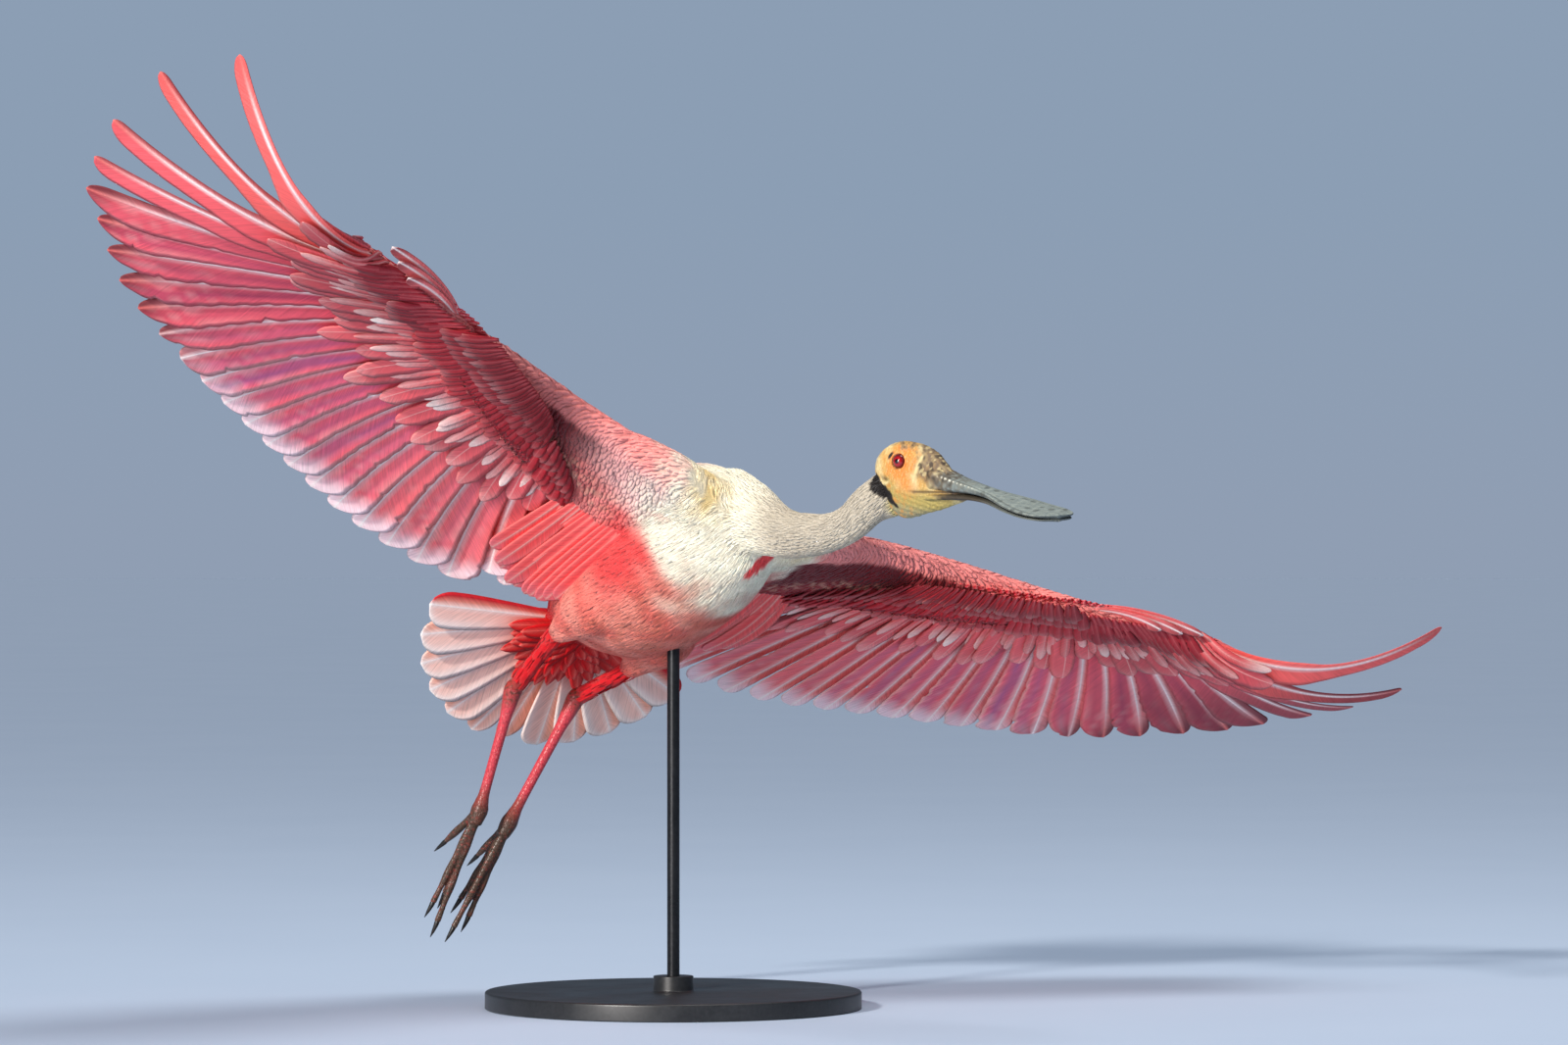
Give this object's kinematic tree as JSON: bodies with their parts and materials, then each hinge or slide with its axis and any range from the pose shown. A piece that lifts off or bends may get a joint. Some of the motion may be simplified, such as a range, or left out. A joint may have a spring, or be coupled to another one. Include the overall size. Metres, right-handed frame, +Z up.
{
  "type": "roseate spoonbill",
  "caption": "Life-size roseate spoonbill in banked flight, wings spread, tail fanned and legs trailing, held over a flat round base by one upright rod.",
  "frame": {"origin": "centre of the stand base's underside", "axes": "+Z up, +X to the right of the camera, the camera looks along +Y; the bird flies towards +X and -Y"},
  "size_m": [1.0659, 0.7913, 0.7258],
  "materials": {
    "stand": "satin black paint",
    "body_feathers": "soft contour feathers, salmon pink with a scarlet vent and a cream breast",
    "neck_feathers": "short dense white feathers, greyer towards the head",
    "wing_feathers": "rose pink vanes with pale shafts and dark outer tips",
    "tail_feathers": "peach vanes with white shafts",
    "head_skin": "bare creased skin, greenish yellow with orange round the eye",
    "eye": "wet glossy dark red",
    "bill": "horn, blue grey with dark mottling",
    "leg_skin": "scaled skin, crimson",
    "foot_skin": "scaled skin, dark brown",
    "claw": "black horn"
  },
  "bodies": {
    "root": {"stand_base": "stand", "stand_rod": "stand", "torso": "body_feathers", "neck": "neck_feathers", "head": "head_skin", "eye_left": "eye", "eye_right": "eye", "bill_upper": "bill", "bill_lower": "bill", "wing_left": "wing_feathers", "wing_right": "wing_feathers", "tail": "tail_feathers", "shank_left": "leg_skin", "tarsus_left": "leg_skin", "foot_left": "foot_skin", "claw_left_outer": "claw", "claw_left_middle": "claw", "claw_left_inner": "claw", "claw_left_hind": "claw", "shank_right": "leg_skin", "tarsus_right": "leg_skin", "foot_right": "foot_skin", "claw_right_outer": "claw", "claw_right_middle": "claw", "claw_right_inner": "claw", "claw_right_hind": "claw"}
  },
  "joints": []
}
